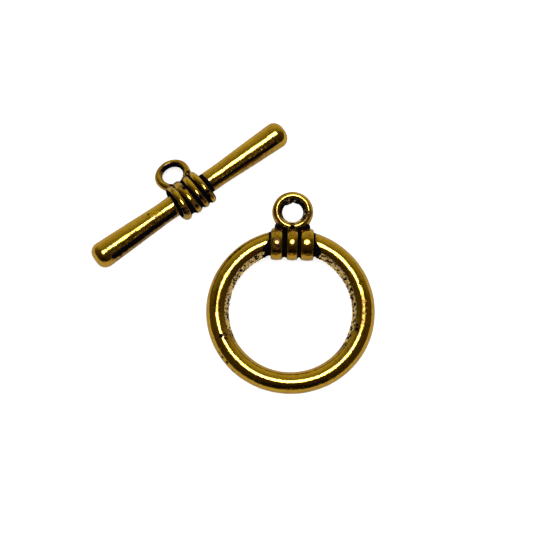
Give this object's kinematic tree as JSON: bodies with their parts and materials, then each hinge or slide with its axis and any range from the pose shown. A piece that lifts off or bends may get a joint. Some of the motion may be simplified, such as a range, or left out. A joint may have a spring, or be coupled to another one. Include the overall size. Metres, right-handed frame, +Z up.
{
  "type": "toggle clasp",
  "caption": "Two-part jewellery toggle clasp: a round ring with a banded collar and eye, and a flared bar with a wire-wrapped waist and side loop.",
  "frame": {"origin": "on the table, under the middle of the box round both halves", "axes": "+Z up from the table, +Y from the ring's middle towards its eye, +X to the right"},
  "size_m": [0.027, 0.0266, 0.0037],
  "materials": {
    "antique_gold_ring": "polished antique gold plating, black patina in the grooves",
    "antique_gold_bar": "polished antique gold plating, black patina in the grooves"
  },
  "bodies": {
    "root": {"toggle_ring": "antique_gold_ring", "toggle_bar": "antique_gold_bar"}
  },
  "joints": []
}
